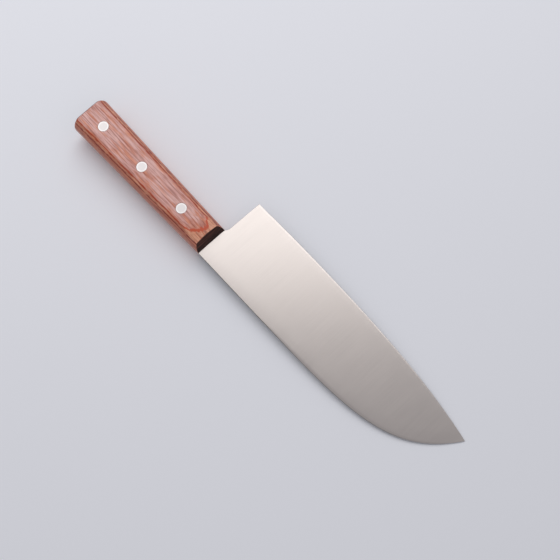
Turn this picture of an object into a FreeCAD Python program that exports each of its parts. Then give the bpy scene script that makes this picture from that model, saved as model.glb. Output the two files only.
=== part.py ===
import FreeCAD, Part
import math
import os
from FreeCAD import Vector

os.makedirs("parts", exist_ok=True)

# A hand knife lying on its side. +X runs from the handle to the tip, +Y from the spine to the cutting
# edge and +Z up. The origin is on the handle's flat underside, on the line of the rivets, midway between
# the front rivet and the middle one. Sizes are in millimetres and angles in degrees.

# Handle: two scales of laminated wood, one above the blade and one below
handle_length = 122.5
handle_thickness = 18.0
butt_half_width = 13.75
front_edge_side = 11.4
front_spine_side = 10.9
side_radius = 10.6
shoulder_radius = 3.8
front_face_lean = 29.0
thumb_relief_length = 17.5
thumb_relief_depth = 1.45
thumb_relief_crown_radius = 53.0
butt_edge_radius = 2.0

# Rivets: three, evenly spaced between the end margins, each a tube half and a shank half
rivet_front_margin = 27.2
rivet_butt_margin = 17.3
rivet_head_diameter = 7.0
rivet_head_thickness = 3.0
rivet_tube_diameter = 5.0
rivet_shank_diameter = 3.2
rivet_hole_clearance = 0.05
rivet_end_gap = 0.5

# Blade: flat at the spine, then ground to a slight convex curve down to the cutting edge
blade_length = 195.0
blade_depth = 50.5
spine_thickness = 2.0
behind_edge_thickness = 0.45
tip_thinning = 0.4
edge_bevel_angle = 12.0
edge_land = 0.08
heel_drop = 0.4
heel_lean = 0.3

# Neck, where the blade leaves the handle
spine_offset = 11.0
choil_gap = 1.6
choil_fillet = 4.0
neck_setback = 0.8

# Both long sides of the blade run straight from the heel end and then curve to the tip
spine_curve_length = 119.0
spine_curve_lead = 70.0
spine_tip_angle = 58.0
spine_tip_pull = 40.0
belly_length = 164.0
belly_lead = 86.0
belly_tip_angle = 12.0
belly_tip_pull = 37.0
tip_below_edge_line = 11.7

# Tang, the flat bar that the blade runs on as, hidden between the scales
tang_front_width = 17.0
tang_end_width = 14.0
tang_past_rivet = 9.0
tang_corner_radius = 3.0
tang_side_clearance = 0.05
tang_end_clearance = 1.0

# How far cutting shapes reach past the surfaces they cut, and the bevel's cutter out from and in from the edge
overcut = 5.0
bevel_cutter_outside = 1.0
bevel_cutter_inside = 10.0

# Places that follow from the sizes above
rivet_pitch = (handle_length - rivet_front_margin - rivet_butt_margin) / 2
rivet_x = {"front": rivet_pitch / 2, "middle": -rivet_pitch / 2, "butt": -rivet_pitch / 2 - rivet_pitch}
front_x = rivet_x["front"] + rivet_front_margin
butt_x = front_x - handle_length
mid_z = handle_thickness / 2
spine_y = -spine_offset
edge_line_y = spine_y + blade_depth
heel_x = front_x + choil_gap
tip_x = heel_x + blade_length
tip_y = edge_line_y - tip_below_edge_line
tang_end_x = rivet_x["butt"] - tang_past_rivet
up = Vector(0, 0, 1)


def at(x, y, z=0.0):
    return Vector(x, y, z)


def line(start, end):
    return Part.makeLine(start, end)


def arc(start, through, end):
    return Part.Arc(start, through, end).toShape()


def bezier(*poles):
    curve = Part.BezierCurve()
    curve.setPoles(list(poles))
    return curve.toShape()


def face_of(edges):
    return Part.Face(Part.Wire(Part.__sortEdges__(edges)))


def polygon_face(points):
    return Part.Face(Part.makePolygon(points + points[:1]))


def upright_cylinder(x, diameter, z_low, z_high):
    return Part.makeCylinder(diameter / 2, z_high - z_low, at(x, 0, z_low), up)


# ---- Blade ------------------------------------------------------------------------------------------


def spine_curve():
    """Spine in plan, from where it stops being straight to the tip."""
    angle = math.radians(spine_tip_angle)
    start_x = tip_x - spine_curve_length
    return bezier(
        at(start_x, spine_y),
        at(start_x + spine_curve_lead, spine_y),
        at(tip_x - spine_tip_pull * math.cos(angle), tip_y - spine_tip_pull * math.sin(angle)),
        at(tip_x, tip_y),
    )


def belly_curve():
    """Cutting edge in plan, from the tip to where it becomes straight."""
    angle = math.radians(belly_tip_angle)
    end_x = tip_x - belly_length
    return bezier(
        at(tip_x, tip_y),
        at(tip_x - belly_tip_pull * math.cos(angle), tip_y + belly_tip_pull * math.sin(angle)),
        at(end_x + belly_lead, edge_line_y),
        at(end_x, edge_line_y),
    )


def heel_edge():
    """Straight stretch of the cutting edge, from the belly to the heel corner."""
    return line(at(tip_x - belly_length, edge_line_y), heel_corner())


def heel_corner():
    return at(heel_x + heel_lean, edge_line_y - heel_drop)


def choil_arc():
    """Hollow curve from the choil down to the neck, cut off where it meets the handle."""
    centre = at(heel_x - choil_fillet, front_edge_side - neck_setback + choil_fillet)
    turn = math.acos((front_x - centre.x) / choil_fillet)
    ends = []
    for angle in (0, turn / 2, turn):
        ends.append(centre + at(choil_fillet * math.cos(angle), -choil_fillet * math.sin(angle)))
    return arc(*ends), ends[0], ends[2]


def blade_outline():
    hollow, choil_foot, neck_edge = choil_arc()
    neck_spine = at(front_x, spine_y)
    return face_of(
        [
            line(neck_spine, at(tip_x - spine_curve_length, spine_y)),
            spine_curve(),
            belly_curve(),
            heel_edge(),
            line(heel_corner(), choil_foot),
            hollow,
            line(neck_edge, neck_spine),
        ]
    )


def grind(side):
    """Huge cylinder whose skin is one ground side of the blade, thinner toward the edge and the tip."""
    fall = (spine_thickness - behind_edge_thickness) / 2
    radius = (blade_depth**2 + fall**2) / (2 * fall)
    thinning = tip_thinning / 2 / blade_length
    start = at(front_x, spine_y, mid_z + side * (spine_thickness / 2 - radius))
    direction = at(1, 0, -side * thinning)
    start = start - direction * overcut
    return Part.makeCylinder(radius, tip_x - front_x + 2 * overcut, start, direction)


def edge_bevel(side):
    """Wedge-shaped block swept along the whole cutting edge, which cuts the bevel of one side."""
    rise = math.tan(math.radians(edge_bevel_angle))
    angle = math.radians(belly_tip_angle)
    inward = at(-math.sin(angle), -math.cos(angle))
    root = at(tip_x, tip_y, mid_z)
    corners = []
    for reach in (-bevel_cutter_outside, bevel_cutter_inside):
        corners.append(root + inward * reach + up * side * (edge_land / 2 + reach * rise))
    for reach in (bevel_cutter_inside, -bevel_cutter_outside):
        corners.append(root + inward * reach + up * side * overcut)
    path = Part.Wire(Part.__sortEdges__([belly_curve(), heel_edge()]))
    return path.makePipeShell([Part.makePolygon(corners + corners[:1])], True, False)


def tang_bar(clearance, end_clearance, z_low, z_high):
    """The tang's shape, or with clearances the shape of the pocket that it lies in."""
    half_front = tang_front_width / 2 + clearance
    half_end = tang_end_width / 2 + clearance
    end_x = tang_end_x - end_clearance
    points = [
        at(front_x, -half_front, z_low),
        at(front_x, half_front, z_low),
        at(end_x, half_end, z_low),
        at(end_x, -half_end, z_low),
    ]
    bar = polygon_face(points).extrude(up * (z_high - z_low))
    corners = []
    for edge in bar.Edges:
        upright = edge.BoundBox.ZLength > edge.BoundBox.YLength
        if upright and edge.BoundBox.XMax < rivet_x["butt"]:
            corners.append(edge)
    return bar.makeFillet(tang_corner_radius, corners)


def make_blade():
    blade = blade_outline().extrude(up * handle_thickness)
    for side in (1, -1):
        blade = blade.common(grind(side))
    for side in (1, -1):
        blade = blade.cut(edge_bevel(side))
    half = spine_thickness / 2
    blade = blade.fuse(tang_bar(0, 0, mid_z - half, mid_z + half))
    for x in rivet_x.values():
        hole = rivet_tube_diameter + 2 * rivet_hole_clearance
        blade = blade.cut(upright_cylinder(x, hole, 0, handle_thickness))
    return blade


# ---- Handle scales ----------------------------------------------------------------------------------


def side_block(outward, butt_y, front_y):
    """Upper half of the handle's section, rounded on one long side only, run along that side."""
    half = handle_thickness / 2
    turn = math.asin((half - shoulder_radius) / (side_radius - shoulder_radius))
    low = at(butt_x - overcut, outward * butt_y, mid_z)
    side_centre = low - at(0, outward * side_radius)
    sides = []
    for angle in (0, turn / 2, turn):
        sides.append(side_centre + at(0, outward * math.cos(angle), math.sin(angle)) * side_radius)
    inner = side_radius - shoulder_radius
    shoulder_centre = side_centre + at(0, outward * math.cos(turn), math.sin(turn)) * inner
    shoulders = [sides[2]]
    for angle in ((turn + math.pi / 2) / 2, math.pi / 2):
        direction = at(0, outward * math.cos(angle), math.sin(angle))
        shoulders.append(shoulder_centre + direction * shoulder_radius)
    far_y = -outward * (butt_half_width + overcut)
    far_low = at(low.x, far_y, mid_z)
    far_high = at(low.x, far_y, handle_thickness)
    section = face_of(
        [
            line(far_low, low),
            arc(*sides),
            arc(*shoulders),
            line(shoulders[2], far_high),
            line(far_high, far_low),
        ]
    )
    run = front_x - butt_x
    slope = outward * (front_y - butt_y) / run
    length = run + 2 * overcut
    section.translate(at(0, -slope * overcut))
    return section.extrude(at(length, slope * length))


def end_profile():
    """Side view of the upper half, with its square butt and leaning front face, run across the handle."""
    top = handle_thickness + overcut
    blade_top = mid_z + spine_thickness / 2
    lean = math.tan(math.radians(front_face_lean))
    reach = butt_half_width + overcut
    profile = polygon_face(
        [
            at(butt_x, -reach, mid_z),
            at(front_x, -reach, mid_z),
            at(front_x, -reach, blade_top),
            at(front_x - (top - blade_top) * lean, -reach, top),
            at(butt_x, -reach, top),
        ]
    )
    return profile.extrude(at(0, 2 * reach))


def thumb_relief():
    """Huge cylinder, tipped forward, whose skin is the crowned surface in front of the front rivet."""
    slope = thumb_relief_depth / thumb_relief_length
    ahead = at(1, 0, -slope)
    outward = at(slope, 0, 1).normalize()
    start = at(front_x - thumb_relief_length, 0, handle_thickness)
    foot = start - outward * thumb_relief_crown_radius - ahead * handle_length
    return Part.makeCylinder(thumb_relief_crown_radius, 2 * handle_length, foot, ahead)


def round_butt(blank):
    """Rounds the butt's rim along the top and both sides, but not where the two scales meet."""
    rim = []
    for edge in blank.Edges:
        on_butt = edge.BoundBox.XMax < butt_x + butt_edge_radius
        if on_butt and edge.BoundBox.ZMax > mid_z + butt_edge_radius:
            rim.append(edge)
    return blank.makeFillet(butt_edge_radius, rim)


def make_upper_scale():
    blank = side_block(1, butt_half_width, front_edge_side)
    blank = blank.common(side_block(-1, butt_half_width, front_spine_side))
    blank = blank.common(end_profile())
    blank = blank.common(thumb_relief())
    scale = round_butt(blank)
    blade_top = mid_z + spine_thickness / 2
    scale = scale.cut(tang_bar(tang_side_clearance, tang_end_clearance, mid_z - overcut, blade_top))
    head_floor = handle_thickness - rivet_head_thickness
    for x in rivet_x.values():
        tube_hole = rivet_tube_diameter + 2 * rivet_hole_clearance
        head_hole = rivet_head_diameter + 2 * rivet_hole_clearance
        scale = scale.cut(upright_cylinder(x, tube_hole, mid_z, handle_thickness))
        scale = scale.cut(upright_cylinder(x, head_hole, head_floor, handle_thickness + overcut))
    return scale


def make_lower_scale(upper):
    return upper.mirror(at(0, 0, mid_z), up)


# ---- Rivets -----------------------------------------------------------------------------------------


def make_rivet_tube(x):
    """Lower half: a head flush with the underside and a tube that takes the other half's shank."""
    tube_end = handle_thickness - rivet_head_thickness - rivet_end_gap
    half = upright_cylinder(x, rivet_head_diameter, 0, rivet_head_thickness)
    half = half.fuse(upright_cylinder(x, rivet_tube_diameter, 0, tube_end)).removeSplitter()
    return half.cut(upright_cylinder(x, rivet_shank_diameter, rivet_head_thickness, tube_end))


def make_rivet_shank(x):
    """Upper half: a head flush with the top and a solid shank pressed into the tube."""
    head_floor = handle_thickness - rivet_head_thickness
    shank_end = rivet_head_thickness + rivet_end_gap
    half = upright_cylinder(x, rivet_head_diameter, head_floor, handle_thickness)
    return half.fuse(upright_cylinder(x, rivet_shank_diameter, shank_end, handle_thickness)).removeSplitter()


# ---- The knife --------------------------------------------------------------------------------------

upper_scale = make_upper_scale()
pieces = {
    "blade": make_blade(),
    "handle_scale_upper": upper_scale,
    "handle_scale_lower": make_lower_scale(upper_scale),
}
for place, x in rivet_x.items():
    pieces["rivet_" + place + "_tube"] = make_rivet_tube(x)
    pieces["rivet_" + place + "_shank"] = make_rivet_shank(x)

for name, shape in pieces.items():
    print(f"{name}: {len(shape.Solids)} solid, {shape.Volume:.1f} mm3, valid {shape.isValid()}")
    shape.exportStep("parts/" + name + ".step")
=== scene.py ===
import math

import bmesh
import bpy
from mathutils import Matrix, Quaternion, Vector


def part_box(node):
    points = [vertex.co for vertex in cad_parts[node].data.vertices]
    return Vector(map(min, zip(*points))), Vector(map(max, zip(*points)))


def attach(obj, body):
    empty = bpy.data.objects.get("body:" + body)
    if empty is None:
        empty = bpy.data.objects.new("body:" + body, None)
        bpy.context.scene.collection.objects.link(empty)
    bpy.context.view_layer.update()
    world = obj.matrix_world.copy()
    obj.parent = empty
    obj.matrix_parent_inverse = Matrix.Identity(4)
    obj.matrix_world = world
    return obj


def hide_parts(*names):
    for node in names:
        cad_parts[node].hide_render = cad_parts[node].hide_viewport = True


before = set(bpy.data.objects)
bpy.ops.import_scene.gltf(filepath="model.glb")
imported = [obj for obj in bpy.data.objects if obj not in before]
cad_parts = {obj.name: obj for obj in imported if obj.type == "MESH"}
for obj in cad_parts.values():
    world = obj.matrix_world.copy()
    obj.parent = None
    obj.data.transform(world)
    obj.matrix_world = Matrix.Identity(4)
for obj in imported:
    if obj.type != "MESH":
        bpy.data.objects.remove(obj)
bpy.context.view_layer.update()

# ---- Blade ------------------------------------------------------------------------------------------
# One blank of 2 mm stainless steel, ground on both sides in a slight convex curve that thins it from the
# spine to the cutting edge, then finished on a belt across its width. Its tang runs on between the scales
# and is held by the rivets.

mm = 0.001
choil_gap = 1.6 * mm
choil_radius = 4.0 * mm
choil_foot_y = 14.6 * mm
heel_lean = 0.3 * mm
heel_drop = 0.4 * mm
tip_below_edge_line = 11.7 * mm

# Both long sides run straight from the heel end and then curve to the tip
spine_curve_length = 119.0 * mm
spine_lead = 70.0 * mm
spine_tip_angle = math.radians(58.0)
spine_tip_pull = 40.0 * mm
belly_length = 164.0 * mm
belly_lead = 86.0 * mm
belly_tip_angle = math.radians(-12.0)
belly_tip_pull = 37.0 * mm
outline_points = 400

blade_low, blade_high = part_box("blade")
handle_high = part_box("handle_scale_upper")[1]
neck_x = handle_high.x
spine_y = blade_low.y
edge_y = blade_high.y
blade_mid_z = (blade_low.z + blade_high.z) / 2
heel_x = neck_x + choil_gap
heel_corner = Vector((heel_x + heel_lean, edge_y - heel_drop))
tip = Vector((blade_high.x, edge_y - tip_below_edge_line))

# The convex grind, from the spine down to a small bevel and the land left along the edge
spine_half_thickness = 1.0 * mm
grind_fall = 0.775 * mm
tip_thinning = 0.2 * mm
edge_land = 0.04 * mm
bevel_slope = math.tan(math.radians(12.0))
bevel_softness = 0.05 * mm
tip_slimming_start = 165.0 * mm
tip_slimming = 0.75
thinnest_share = 0.3  # of the thickness, left at the very rim by all the easing

# The belt rolls the flat over toward both rims, most of all where the spine curves down
spine_roll_width = 8.5 * mm
spine_roll_drop = 0.16 * mm
edge_roll_width = 4.5 * mm
edge_roll_drop = 0.045 * mm
arris_width = 0.35 * mm
arris_depth = 0.25 * mm
curved_arris_width = 2.6 * mm
curved_arris_depth = 0.4 * mm
curved_arris_middle = 172.0 * mm
curved_arris_reach = 66.0 * mm


def bezier_points(poles, count):
    """Points along a cubic Bezier curve."""
    points = []
    for index in range(count + 1):
        t = index / count
        s = 1 - t
        weights = (s**3, 3 * s * s * t, 3 * s * t * t, t**3)
        points.append(sum((pole * weight for pole, weight in zip(poles, weights)), Vector((0, 0))))
    return points


def toward_tip(angle, pull):
    """Control point beside the tip that sets the direction in which a curve arrives there."""
    return tip - pull * Vector((math.cos(angle), math.sin(angle)))


spine_start = Vector((tip.x - spine_curve_length, spine_y))
spine_line = bezier_points(
    [
        spine_start,
        spine_start + Vector((spine_lead, 0)),
        toward_tip(spine_tip_angle, spine_tip_pull),
        tip,
    ],
    outline_points,
)
belly_start = Vector((tip.x - belly_length, edge_y))
belly_line = bezier_points(
    [
        belly_start,
        belly_start + Vector((belly_lead, 0)),
        toward_tip(belly_tip_angle, belly_tip_pull),
        tip,
    ],
    outline_points,
)
spine_line.insert(0, Vector((neck_x, spine_y)))
belly_line.insert(0, heel_corner)


def height_on(outline, x):
    """Y of an outline at x, and the cosine of its slope there."""
    for start, end in zip(outline, outline[1:]):
        if x <= end.x or end is outline[-1]:
            run = end - start
            return start.y + run.y * (x - start.x) / run.x, run.x / run.length


def blade_start_x(y):
    """Where the steel begins at y: at the handle, in the hollow of the choil or on its straight."""
    if y >= choil_foot_y:
        along = (y - choil_foot_y) / (heel_corner.y - choil_foot_y)
        return heel_x + along * (heel_corner.x - heel_x)
    drop = choil_foot_y - y
    if drop >= choil_radius:
        return neck_x
    return max(neck_x, heel_x - choil_radius + math.sqrt(choil_radius**2 - drop**2))


def eased(distance, width, depth):
    """How much lower an arris of this width and depth leaves the flat, at a distance from the rim."""
    if distance >= width:
        return 0.0
    return depth * (1 - math.sqrt(1 - (1 - distance / width) ** 2))


def half_thickness(x, y, from_spine, from_edge, from_choil):
    """Half the thickness of the ground and finished steel at one point of the blade."""
    along = (x - neck_x) / (tip.x - neck_x)
    fall = grind_fall * ((y - spine_y) / (edge_y - spine_y)) ** 2
    flat = spine_half_thickness - fall - tip_thinning * along
    if x > tip_slimming_start:
        flat *= 1 - tip_slimming * ((x - tip_slimming_start) / (tip.x - tip_slimming_start)) ** 2
    if from_spine < spine_roll_width:
        flat -= spine_roll_drop * (1 - from_spine / spine_roll_width) ** 2
    if from_edge < edge_roll_width:
        flat -= edge_roll_drop * (1 - from_edge / edge_roll_width) ** 2
    bevel = edge_land + from_edge * bevel_slope
    gap = max(bevel_softness - abs(flat - bevel), 0) / bevel_softness
    flat = min(flat, bevel) - gap * gap * bevel_softness / 4
    curved = max(0.0, 1 - ((x - curved_arris_middle) / curved_arris_reach) ** 2)
    width = arris_width + curved * (curved_arris_width - arris_width)
    depth = arris_depth + curved * (curved_arris_depth - arris_depth)
    rim = max(eased(from_spine, width, depth), eased(from_choil, arris_width, arris_depth))
    return max(flat - min(rim, flat * (1 - thinnest_share)), edge_land / 2)


# Rows run the length of the blade and columns from spine to edge. Both lie closer together at the rims,
# at these distances from them in millimetres
spine_rows = [0.0, 0.03, 0.08, 0.16, 0.26, 0.36, 0.6, 0.9, 1.3, 1.8, 2.4, 3.2, 4.2, 5.5, 7.0, 8.5]
edge_rows = [4.5, 3.4, 2.5, 1.8, 1.3, 1.0, 0.85, 0.7, 0.6, 0.5, 0.4, 0.3, 0.2, 0.1, 0.05, 0.0]
middle_rows = 36
heel_columns = [0.0, 0.03, 0.08, 0.16, 0.26, 0.36, 0.7, 1.2]
heel_blend_columns = 8
blend_end_x = 60.0 * mm
column_pitch = 1.0 * mm
closing_share = 0.2  # of what is left to the tip, from one column to the next
last_gap = 0.05 * mm
narrow_width = 16.0 * mm
weld_distance = 0.001 * mm


def row_places(width):
    """Distances from the spine of every row, where the blade is this wide."""
    shrink = min(1.0, width / narrow_width)
    near_spine = [row * mm * shrink for row in spine_rows]
    near_edge = [width - row * mm * shrink for row in edge_rows]
    span = near_edge[0] - near_spine[-1]
    middle = [near_spine[-1] + span * (k + 1) / (middle_rows + 1) for k in range(middle_rows)]
    return near_spine + middle + near_edge


def column_places():
    """X of the columns beyond the heel, closing up toward the tip."""
    places = []
    x = blend_end_x
    while tip.x - x > 2 * last_gap:
        places.append(x)
        x += min(column_pitch, (tip.x - x) * closing_share)
    return places + [tip.x - last_gap]


def surface_point(x, offset, side):
    """Point of the upper (side 1) or lower (side -1) face, offset from the spine at x."""
    top_y, spine_cosine = height_on(spine_line, x)
    low_y, edge_cosine = height_on(belly_line, x)
    y = top_y + offset
    from_choil = x - blade_start_x(y) if y > choil_foot_y - choil_radius else choil_radius
    half = half_thickness(x, y, offset * spine_cosine, (low_y - y) * edge_cosine, from_choil)
    return Vector((x, y, blade_mid_z + side * half))


def blade_columns():
    """Every column of the blade, as the (x, offset from the spine) of its points."""
    columns = []
    heel_rows = row_places(heel_corner.y - spine_y)
    for step in heel_columns:
        columns.append([(blade_start_x(spine_y + row) + step * mm, row) for row in heel_rows])
    last = columns[-1]
    for k in range(1, heel_blend_columns):
        share = k / heel_blend_columns
        columns.append([(x + (blend_end_x - x) * share, row) for x, row in last])
    for x in column_places():
        width = height_on(belly_line, x)[0] - height_on(spine_line, x)[0]
        columns.append([(x, row) for row in row_places(width)])
    return columns


def tang_mesh():
    """The tang as the frame has it, cut off at the front of the handle and closed there."""
    tang = bmesh.new()
    tang.from_mesh(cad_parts["blade"].data)
    bmesh.ops.remove_doubles(tang, verts=tang.verts, dist=weld_distance)
    bmesh.ops.bisect_plane(
        tang,
        geom=tang.verts[:] + tang.edges[:] + tang.faces[:],
        dist=weld_distance,
        plane_co=(neck_x, 0, 0),
        plane_no=(1, 0, 0),
        clear_outer=True,
    )
    rim = [edge for edge in tang.edges if edge.is_boundary]
    bmesh.ops.contextual_create(tang, geom=rim)
    mesh = bpy.data.meshes.new("tang")
    tang.to_mesh(mesh)
    tang.free()
    return mesh


def build_blade():
    """Skins the columns into one closed shell and adds the tang behind it."""
    shell = bmesh.new()
    rings = []
    for column in blade_columns():
        ring = [shell.verts.new(surface_point(x, offset, 1)) for x, offset in column]
        ring += [shell.verts.new(surface_point(x, offset, -1)) for x, offset in reversed(column)]
        rings.append(ring)
    size = len(rings[0])
    for ring, following in zip(rings, rings[1:]):
        for k in range(size):
            after = (k + 1) % size
            shell.faces.new((ring[k], ring[after], following[after], following[k]))
    for ring in (rings[0], rings[-1]):
        for k in range(size // 2 - 1):
            shell.faces.new((ring[k], ring[k + 1], ring[size - 2 - k], ring[size - 1 - k]))
    tang = tang_mesh()
    shell.from_mesh(tang)
    bpy.data.meshes.remove(tang)
    bmesh.ops.recalc_face_normals(shell, faces=shell.faces[:])
    mesh = bpy.data.meshes.new("ground_blade")
    shell.to_mesh(mesh)
    shell.free()
    mesh.polygons.foreach_set("use_smooth", [True] * len(mesh.polygons))
    blade = bpy.data.objects.new("ground_blade", mesh)
    bpy.context.scene.collection.objects.link(blade)
    return blade


def linear(hex_colour):
    """Linear RGBA of an sRGB hex colour."""
    channels = []
    for start in (1, 3, 5):
        value = int(hex_colour[start : start + 2], 16) / 255
        channels.append(value / 12.92 if value <= 0.04045 else ((value + 0.055) / 1.055) ** 2.4)
    return (*channels, 1.0)


def empty_material(name):
    """A material with no nodes yet, and its node tree."""
    material = bpy.data.materials.new(name)
    material.use_nodes = True
    material.node_tree.nodes.clear()
    return material, material.node_tree


def add_node(tree, kind, settings, inputs):
    """Adds a node with its own settings, and a value or another node's socket for each input."""
    node = tree.nodes.new("ShaderNode" + kind)
    for name, value in settings.items():
        if name == "stops":
            ramp = node.color_ramp.elements
            while len(ramp) < len(value):
                ramp.new(1.0)
            for element, (position, colour) in zip(ramp, value):
                element.position = position
                element.color = linear(colour)
        else:
            setattr(node, name, value)
    for name, value in inputs.items():
        if isinstance(value, bpy.types.NodeSocket):
            tree.links.new(value, node.inputs[name])
        else:
            node.inputs[name].default_value = value
    return node


def drawn_out_noise(tree, place, per_metre, detail, roughness):
    """Noise stretched along an axis, repeating so many times a metre along x, y and z."""
    stretched = add_node(
        tree, "Mapping", {"vector_type": "POINT"}, {"Vector": place, "Scale": per_metre}
    )
    noise = add_node(
        tree,
        "TexNoise",
        {},
        {"Vector": stretched.outputs[0], "Scale": 1.0, "Detail": detail, "Roughness": roughness},
    )
    return noise.outputs["Fac"]


def brushed_stainless_steel():
    """Stainless steel off a fine belt: a soft broad sheen, with faint lines from spine to edge."""
    belt_line_pitch = 0.45 * mm  # the real lines are about 0.05 mm apart, too fine to show
    belt_line_length = 30.0 * mm
    stroke_pitch = 5.0 * mm
    material, tree = empty_material("brushed_stainless_steel")
    place = add_node(tree, "TexCoord", {}, {}).outputs["Object"]
    lines = drawn_out_noise(
        tree, place, (1 / belt_line_pitch, 1 / belt_line_length, 0), 3.0, 0.6
    )
    strokes = drawn_out_noise(
        tree, place, (1 / stroke_pitch, 1 / belt_line_length, 0), 2.0, 0.5
    )
    colour = add_node(
        tree,
        "ValToRGB",
        {"stops": [(0.25, "#c1b9b4"), (0.75, "#c8c0bb")]},
        {"Fac": lines},
    )
    # Painted dark reflection: faces that turn sideways, such as the wall of the spine, are coloured dark
    # grey, darker than the ground sides
    facing = add_node(tree, "NewGeometry", {}, {}).outputs["Normal"]
    facing_z = add_node(tree, "SeparateXYZ", {}, {"Vector": facing}).outputs["Z"]
    flatness = add_node(tree, "Math", {"operation": "ABSOLUTE"}, {0: facing_z})
    ground = add_node(
        tree,
        "MapRange",
        {"interpolation_type": "SMOOTHSTEP"},
        {"Value": flatness.outputs[0], "From Min": 0.25, "From Max": 0.9},
    )
    # The dark grey mixed in here is the painted reflection on the sideways walls
    finished = add_node(
        tree,
        "Mix",
        {"data_type": "RGBA"},
        {
            "Factor": ground.outputs["Result"],
            "A": linear("#4a484b"),
            "B": colour.outputs["Color"],
        },
    )
    both = add_node(
        tree, "Math", {"operation": "MULTIPLY_ADD"}, {0: lines, 1: 0.6, 2: strokes}
    )
    roughness = add_node(
        tree,
        "MapRange",
        {},
        {"Value": both.outputs[0], "From Min": 0.4, "From Max": 1.2, "To Min": 0.28, "To Max": 0.33},
    )
    bump = add_node(
        tree, "Bump", {}, {"Height": lines, "Strength": 0.06, "Distance": 0.02 * mm}
    )
    shader = add_node(
        tree,
        "BsdfPrincipled",
        {},
        {
            "Base Color": finished.outputs["Result"],
            "Metallic": 1.0,
            "Roughness": roughness.outputs["Result"],
            "Normal": bump.outputs["Normal"],
        },
    )
    add_node(tree, "OutputMaterial", {}, {"Surface": shader.outputs["BSDF"]})
    return material


blade = build_blade()
blade.data.materials.clear()
blade.data.materials.append(brushed_stainless_steel())
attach(blade, "root")
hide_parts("blade")

# ---- Handle scales ----------------------------------------------------------------------------------
# Two scales of resin-bonded birch plywood, dyed red-brown and pressed hard, one on each side of the tang.
# They are shaped and polished together, so the plies show as wavy glue lines wherever the sides round
# over, and the sawn front face shows dark end grain.

face_ply = 0.85 * mm
ply = 1.8 * mm
ply_normal = (-0.002, 0.034, 1.0)  # the plies lie slightly askew to the shaped handle
above_first_line = -0.45  # in plies, the highest that the face can lie over the first glue line
wander = 0.55 * mm
wander_length = 11.0 * mm
wander_width = 5.0 * mm

# Real glue lines are about 0.05 mm thick and real pores 0.1 mm wide, drawn wider so that they show
glue_line = 0.1 * mm
torn_line = 1.2 * mm
tear_pitch = 0.8 * mm
tear_length = 3.2 * mm
grain_pitch = 0.7 * mm
grain_length = 17.0 * mm
pore_pitch = 0.6 * mm
pore_length = 9.0 * mm
streak_pitch = 3.0 * mm
streak_length = 22.0 * mm
end_band = 0.9 * mm
end_band_length = 14.0 * mm
painted_shade_height = 3.5 * mm
rivet_shade_width = 0.6 * mm
rivet_places = ("front", "middle", "butt")
edge_ease = 0.2 * mm
edge_angle = math.radians(50.0)


def along_grain(tree, place, length, pitch, detail, roughness):
    """Noise drawn out along the handle, about as long and as wide as given."""
    per_metre = (1 / length, 1 / pitch, 1 / pitch)
    return drawn_out_noise(tree, place, per_metre, detail, roughness)


def height_and_plies(tree, place):
    """Height across the plies, and depth below the first glue line counted in wavy plies."""
    height = add_node(
        tree, "VectorMath", {"operation": "DOT_PRODUCT"}, {0: place, 1: ply_normal}
    ).outputs["Value"]
    waves = along_grain(tree, place, wander_length, wander_width, 4.0, 0.55)
    shift = add_node(
        tree,
        "MapRange",
        {"clamp": False},
        {"Value": waves, "To Min": -wander / 2, "To Max": wander / 2},
    )
    wavy = add_node(tree, "Math", {"operation": "ADD"}, {0: height, 1: shift.outputs["Result"]})
    plies = add_node(
        tree,
        "MapRange",
        {"clamp": False},
        {
            "Value": wavy.outputs[0],
            "From Min": handle_high.z - face_ply,
            "From Max": handle_high.z - face_ply - ply,
        },
    ).outputs["Result"]
    plies = add_node(tree, "Math", {"operation": "MAXIMUM"}, {0: plies, 1: above_first_line})
    return height, plies.outputs[0]


def torn_glue(tree, place, plies, level):
    """How much glue shows. The two outer lines are torn wider where the surface slopes across them."""
    nearest = add_node(tree, "Math", {"operation": "PINGPONG"}, {0: plies, 1: 0.5})
    steep = add_node(tree, "Math", {"operation": "SUBTRACT"}, {0: 1.0, 1: level})
    slope = add_node(tree, "Math", {"operation": "MULTIPLY"}, {0: level, 1: steep.outputs[0]})
    outer = add_node(
        tree,
        "MapRange",
        {},
        {"Value": plies, "From Min": 1.4, "From Max": 1.5, "To Min": 1.0, "To Max": 0.0},
    )
    torn = add_node(
        tree, "Math", {"operation": "MULTIPLY"}, {0: slope.outputs[0], 1: outer.outputs["Result"]}
    )
    line_width = add_node(
        tree,
        "Math",
        {"operation": "MULTIPLY_ADD"},
        {0: torn.outputs[0], 1: torn_line / ply, 2: glue_line / ply},
    )
    tears = along_grain(tree, place, tear_length, tear_pitch, 3.0, 0.6)
    tearing = add_node(
        tree,
        "MapRange",
        {},
        {"Value": tears, "From Min": 0.38, "From Max": 0.62, "To Min": 0.2, "To Max": 1.8},
    )
    torn_width = add_node(
        tree,
        "Math",
        {"operation": "MULTIPLY"},
        {0: line_width.outputs[0], 1: tearing.outputs["Result"]},
    )
    share = add_node(
        tree, "Math", {"operation": "DIVIDE"}, {0: nearest.outputs[0], 1: torn_width.outputs[0]}
    )
    return add_node(
        tree,
        "MapRange",
        {"interpolation_type": "SMOOTHSTEP"},
        {"Value": share.outputs[0], "From Min": 0.6, "From Max": 1.1, "To Min": 1.0, "To Max": 0.0},
    ).outputs["Result"]


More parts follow.
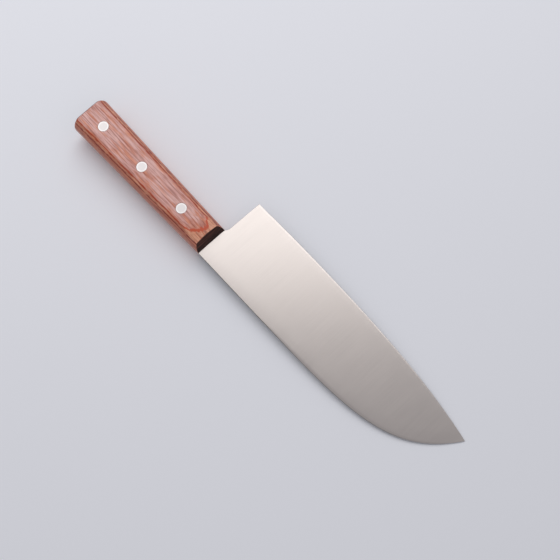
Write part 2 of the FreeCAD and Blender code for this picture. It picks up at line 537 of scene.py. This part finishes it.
def dyed_plies(tree, place, plies):
    """Colour of the plies, which take the dye in four tones in turn, streaked with orange."""
    number = add_node(tree, "Math", {"operation": "FLOOR"}, {0: plies})
    turn = add_node(
        tree, "Math", {"operation": "MULTIPLY_ADD"}, {0: number.outputs[0], 1: 0.25, 2: 0.375}
    )
    turn = add_node(tree, "Math", {"operation": "FRACT"}, {0: turn.outputs[0]})
    tone = add_node(
        tree,
        "ValToRGB",
        {"stops": [(0.0, "#e6b8b0"), (0.25, "#f4c4a6"), (0.5, "#d48b74"), (0.75, "#c47f6a")]},
        {"Fac": turn.outputs[0]},
    )
    tone.color_ramp.interpolation = "CONSTANT"
    streaks = along_grain(tree, place, streak_length, streak_pitch, 4.0, 0.6)
    streaks = add_node(
        tree,
        "MapRange",
        {"interpolation_type": "SMOOTHSTEP"},
        {"Value": streaks, "From Min": 0.47, "From Max": 0.63, "To Min": 0.0, "To Max": 0.8},
    )
    streaked = add_node(
        tree,
        "Mix",
        {"data_type": "RGBA"},
        {"Factor": streaks.outputs["Result"], "A": tone.outputs["Color"], "B": linear("#dc875f")},
    )
    # The glue glows orange through the face ply where that is ground thin
    thin = add_node(
        tree,
        "MapRange",
        {"interpolation_type": "SMOOTHSTEP"},
        {"Value": plies, "From Min": -0.44, "From Max": -0.1, "To Min": 0.0, "To Max": 0.5},
    )
    return add_node(
        tree,
        "Mix",
        {"data_type": "RGBA"},
        {"Factor": thin.outputs["Result"], "A": streaked.outputs["Result"], "B": linear("#d6835c")},
    ).outputs["Result"]


def painted_shade_around_rivets(tree, place):
    """How much painted shade darkens the wood in a thin ring around the rivet heads."""
    plan = add_node(
        tree, "VectorMath", {"operation": "MULTIPLY"}, {0: place, 1: (1.0, 1.0, 0.0)}
    ).outputs["Vector"]
    distances = []
    for rivet_place in rivet_places:
        low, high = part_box(f"rivet_{rivet_place}_shank")
        centre = ((low.x + high.x) / 2, (low.y + high.y) / 2, 0)
        distances.append(
            add_node(tree, "VectorMath", {"operation": "DISTANCE"}, {0: plan, 1: centre})
        )
    nearest = distances[0].outputs["Value"]
    for distance in distances[1:]:
        nearest = add_node(
            tree, "Math", {"operation": "MINIMUM"}, {0: nearest, 1: distance.outputs["Value"]}
        ).outputs[0]
    head_radius = (high.x - low.x) / 2
    return add_node(
        tree,
        "MapRange",
        {"interpolation_type": "SMOOTHSTEP"},
        {
            "Value": nearest,
            "From Min": head_radius,
            "From Max": head_radius + rivet_shade_width,
            "To Min": 0.55,
            "To Max": 0.0,
        },
    ).outputs["Result"]


def sawn_end(tree, place, height, glue):
    """Colour of end grain, whose open pores drink the dye, with painted shade that darkens it toward the
    steel.
    """
    speckle = drawn_out_noise(
        tree, place, (1 / end_band, 1 / end_band_length, 1 / end_band), 3.0, 0.6
    )
    colour = add_node(
        tree, "ValToRGB", {"stops": [(0.42, "#1f100c"), (0.58, "#6a3c32")]}, {"Fac": speckle}
    )
    # Painted shade: the end grain is darkened close to the blade, where the wood meets the steel
    painted_shade_by_steel = add_node(
        tree,
        "MapRange",
        {"interpolation_type": "SMOOTHSTEP"},
        {
            "Value": height,
            "From Min": blade_high.z,
            "From Max": blade_high.z + painted_shade_height,
            "To Min": 0.75,
            "To Max": 0.0,
        },
    )
    colour = add_node(
        tree,
        "Mix",
        {"data_type": "RGBA"},
        {"Factor": painted_shade_by_steel.outputs["Result"], "A": colour.outputs["Color"], "B": linear("#1a0d0a")},
    )
    return add_node(
        tree,
        "Mix",
        {"data_type": "RGBA"},
        {"Factor": glue, "A": colour.outputs["Result"], "B": linear("#4a1d17")},
    ).outputs["Result"]


def polished_laminated_wood():
    """Dyed, resin-bonded veneers: streaked grain with a low polish, and thin dark-red glue lines."""
    material, tree = empty_material("polished_laminated_wood")
    place = add_node(tree, "TexCoord", {}, {}).outputs["Object"]
    facing = add_node(tree, "NewGeometry", {}, {}).outputs["Normal"]
    facing_xyz = add_node(tree, "SeparateXYZ", {}, {"Vector": facing})
    level = add_node(tree, "Math", {"operation": "ABSOLUTE"}, {0: facing_xyz.outputs["Z"]})
    height, plies = height_and_plies(tree, place)
    glue = torn_glue(tree, place, plies, level.outputs[0])

    # The long sides and the faces: dye, grain, pores, the painted shade around the rivets and the glue
    # lines
    grain = along_grain(tree, place, grain_length, grain_pitch, 5.0, 0.65)
    grain_colour = add_node(
        tree,
        "ValToRGB",
        {"stops": [(0.37, "#b07a6c"), (0.48, "#e6cfc9"), (0.58, "#ffffff")]},
        {"Fac": grain},
    )
    grained = add_node(
        tree,
        "Mix",
        {"data_type": "RGBA", "blend_type": "MULTIPLY"},
        {
            "Factor": 0.8,
            "A": dyed_plies(tree, place, plies),
            "B": grain_colour.outputs["Color"],
        },
    )
    pores = along_grain(tree, place, pore_length, pore_pitch, 2.0, 0.6)
    pores = add_node(
        tree,
        "MapRange",
        {"interpolation_type": "SMOOTHSTEP"},
        {"Value": pores, "From Min": 0.53, "From Max": 0.66, "To Min": 0.0, "To Max": 0.5},
    ).outputs["Result"]
    porous = add_node(
        tree,
        "Mix",
        {"data_type": "RGBA"},
        {"Factor": pores, "A": grained.outputs["Result"], "B": linear("#9c5446")},
    )
    # Painted shade: a dark ring around each rivet head
    with_rivet_shade = add_node(
        tree,
        "Mix",
        {"data_type": "RGBA"},
        {
            "Factor": painted_shade_around_rivets(tree, place),
            "A": porous.outputs["Result"],
            "B": linear("#4e2f2a"),
        },
    )
    glue_colour = add_node(
        tree,
        "ValToRGB",
        {"stops": [(0.6, "#7a1005"), (0.95, "#c8502a")]},
        {"Fac": level.outputs[0]},
    )
    glued = add_node(
        tree,
        "Mix",
        {"data_type": "RGBA"},
        {"Factor": glue, "A": with_rivet_shade.outputs["Result"], "B": glue_colour.outputs["Color"]},
    )

    # Sawn across, at the front face and the butt
    across = add_node(tree, "Math", {"operation": "ABSOLUTE"}, {0: facing_xyz.outputs["X"]})
    end_grain = add_node(
        tree,
        "MapRange",
        {"interpolation_type": "SMOOTHSTEP"},
        {"Value": across.outputs[0], "From Min": 0.35, "From Max": 0.75},
    )
    colour = add_node(
        tree,
        "Mix",
        {"data_type": "RGBA"},
        {
            "Factor": end_grain.outputs["Result"],
            "A": glued.outputs["Result"],
            "B": sawn_end(tree, place, height, glue),
        },
    )
    roughness = add_node(
        tree,
        "MapRange",
        {},
        {"Value": grain, "From Min": 0.3, "From Max": 0.7, "To Min": 0.5, "To Max": 0.36},
    )
    relief = add_node(tree, "Math", {"operation": "SUBTRACT"}, {0: grain, 1: pores})
    bump = add_node(
        tree, "Bump", {}, {"Height": relief.outputs[0], "Strength": 0.35, "Distance": 0.06 * mm}
    )
    shader = add_node(
        tree,
        "BsdfPrincipled",
        {},
        {
            "Base Color": colour.outputs["Result"],
            "Roughness": roughness.outputs["Result"],
            "IOR": 1.5,
            "Normal": bump.outputs["Normal"],
        },
    )
    add_node(tree, "OutputMaterial", {}, {"Surface": shader.outputs["BSDF"]})
    return material


def ease_edges(piece, width, angle, segments):
    """Breaks the edges of a piece that are sharper than an angle."""
    eased_edges = piece.modifiers.new("eased_edges", "BEVEL")
    eased_edges.width = width
    eased_edges.segments = segments
    eased_edges.limit_method = "ANGLE"
    eased_edges.angle_limit = angle


def give_material(piece, material):
    """Puts a material in every slot of a piece of the frame."""
    for material_slot in piece.material_slots:
        material_slot.material = material


wood = polished_laminated_wood()
for side in ("upper", "lower"):
    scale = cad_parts[f"handle_scale_{side}"]
    give_material(scale, wood)
    ease_edges(scale, edge_ease, edge_angle, 2)

# ---- Rivets -----------------------------------------------------------------------------------------
# Three two-part cutler's rivets of aluminium: a tube with a head from below and a shank with a head
# pressed into it from above. Their heads are sanded flush together with the wood, lengthwise.

rim_ease = 0.3 * mm
rim_angle = math.radians(60.0)


def sanded_aluminium():
    """Aluminium sanded flush with the wood: bright and soft, with faint lines along the handle."""
    sanding_pitch = 0.35 * mm  # the real lines are about 0.05 mm apart, too fine to show
    sanding_length = 6.0 * mm
    material, tree = empty_material("sanded_aluminium")
    place = add_node(tree, "TexCoord", {}, {})
    lines = drawn_out_noise(
        tree,
        place.outputs["Object"],
        (1 / sanding_length, 1 / sanding_pitch, 1 / sanding_length),
        3.0,
        0.6,
    )
    colour = add_node(
        tree, "ValToRGB", {"stops": [(0.25, "#bfbab9"), (0.75, "#ccc7c6")]}, {"Fac": lines}
    )
    # Painted highlight: the rim is coloured brighter than the middle. The box of each half is as wide as
    # its head
    across = add_node(
        tree,
        "VectorMath",
        {"operation": "MULTIPLY"},
        {0: place.outputs["Generated"], 1: (1.0, 1.0, 0.0)},
    )
    from_centre = add_node(
        tree,
        "VectorMath",
        {"operation": "DISTANCE"},
        {0: across.outputs["Vector"], 1: (0.5, 0.5, 0.0)},
    )
    rim = add_node(
        tree,
        "MapRange",
        {"interpolation_type": "SMOOTHSTEP"},
        {
            "Value": from_centre.outputs["Value"],
            "From Min": 0.32,
            "From Max": 0.46,
            "To Min": 0.0,
            "To Max": 0.6,
        },
    )
    # The brighter rim colour mixed in here is the painted highlight
    colour = add_node(
        tree,
        "Mix",
        {"data_type": "RGBA"},
        {"Factor": rim.outputs["Result"], "A": colour.outputs["Color"], "B": linear("#dedbd9")},
    )
    roughness = add_node(
        tree,
        "MapRange",
        {},
        {"Value": lines, "From Min": 0.3, "From Max": 0.7, "To Min": 0.4, "To Max": 0.5},
    )
    bump = add_node(
        tree, "Bump", {}, {"Height": lines, "Strength": 0.15, "Distance": 0.02 * mm}
    )
    shader = add_node(
        tree,
        "BsdfPrincipled",
        {},
        {
            "Base Color": colour.outputs["Result"],
            "Metallic": 1.0,
            "Roughness": roughness.outputs["Result"],
            "Normal": bump.outputs["Normal"],
        },
    )
    add_node(tree, "OutputMaterial", {}, {"Surface": shader.outputs["BSDF"]})
    return material


aluminium = sanded_aluminium()
for rivet_place in rivet_places:
    for half in ("tube", "shank"):
        rivet_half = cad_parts[f"rivet_{rivet_place}_{half}"]
        give_material(rivet_half, aluminium)
        ease_edges(rivet_half, rim_ease, rim_angle, 3)

# ---- Table top --------------------------------------------------------------------------------------
# A matt, pale blue-grey surface. The knife lies on the front of its handle's underside and on its tip,
# so it is tipped by a little over two degrees, and the table is drawn tipped instead of the knife.

table_half_size = 3000.0 * mm
rest_x = 29.3 * mm
rest_tilt = math.radians(2.28)
rest_gap = 0.05 * mm

corners = []
for x, y in ((-1, -1), (1, -1), (1, 1), (-1, 1)):
    along = x * table_half_size
    corners.append(
        (
            rest_x + along * math.cos(rest_tilt),
            y * table_half_size,
            along * math.sin(rest_tilt) - rest_gap,
        )
    )
table_mesh = bpy.data.meshes.new("table_top")
table_mesh.from_pydata(corners, [], [(0, 1, 2, 3)])
table_top = bpy.data.objects.new("table_top", table_mesh)
bpy.context.scene.collection.objects.link(table_top)


def matt_pale_laminate():
    """Matt laminate: pale blue-grey, without gloss."""
    material, tree = empty_material("matt_pale_laminate")
    shader = add_node(
        tree,
        "BsdfPrincipled",
        {},
        {"Base Color": linear("#f1f2f7"), "Roughness": 0.9, "Specular IOR Level": 0.1},
    )
    add_node(tree, "OutputMaterial", {}, {"Surface": shader.outputs["BSDF"]})
    return material


table_mesh.materials.append(matt_pale_laminate())

# ---- Light and camera -------------------------------------------------------------------------------
# One large soft box, high up beyond the butt on the cutting edge's side, in a dim room that is darker
# low down than overhead.

aim = Vector((94.9, 14.9, 9.0)) * mm
soft_box_distance = 1100.0 * mm
soft_box_lean = math.radians(40.0)
soft_box_bearing = math.radians(152.0)
soft_box_size = (1350.0 * mm, 930.0 * mm)
soft_box_power = 7.0
room_horizon = 0.28
room_zenith = 0.5

soft_box_data = bpy.data.lights.new("soft_box", "AREA")
soft_box_data.shape = "RECTANGLE"
soft_box_data.size, soft_box_data.size_y = soft_box_size
soft_box_data.energy = soft_box_power
soft_box = bpy.data.objects.new("soft_box", soft_box_data)
bpy.context.scene.collection.objects.link(soft_box)
toward_box = Vector(
    (
        math.sin(soft_box_lean) * math.cos(soft_box_bearing),
        math.sin(soft_box_lean) * math.sin(soft_box_bearing),
        math.cos(soft_box_lean),
    )
)
soft_box.location = aim + toward_box * soft_box_distance
soft_box.rotation_euler = (-toward_box).to_track_quat("-Z", "Y").to_euler()

room = bpy.data.worlds.new("room")
room.use_nodes = True
room.node_tree.nodes.clear()
looking = add_node(room.node_tree, "TexCoord", {}, {}).outputs["Generated"]
looking_up = add_node(room.node_tree, "SeparateXYZ", {}, {"Vector": looking}).outputs["Z"]
room_strength = add_node(
    room.node_tree,
    "MapRange",
    {},
    {"Value": looking_up, "To Min": room_horizon, "To Max": room_zenith},
)
room_light = add_node(
    room.node_tree,
    "Background",
    {},
    {"Color": linear("#f4f4fa"), "Strength": room_strength.outputs["Result"]},
)
add_node(room.node_tree, "OutputWorld", {}, {"Surface": room_light.outputs["Background"]})
bpy.context.scene.world = room

camera_place = Vector((268.43, -76.57, 664.96)) * mm
camera_roll = math.radians(-15.07)
camera_data = bpy.data.cameras.new("camera")
camera_data.lens = 70.71
camera_data.sensor_width = 36.0
camera_data.clip_start = 10.0 * mm
camera = bpy.data.objects.new("camera", camera_data)
bpy.context.scene.collection.objects.link(camera)
camera.location = camera_place
look = (aim - camera_place).to_track_quat("-Z", "Y") @ Quaternion((0, 0, 1), camera_roll)
camera.rotation_euler = look.to_euler()
bpy.context.scene.camera = camera
bpy.context.scene.view_settings.view_transform = "Standard"
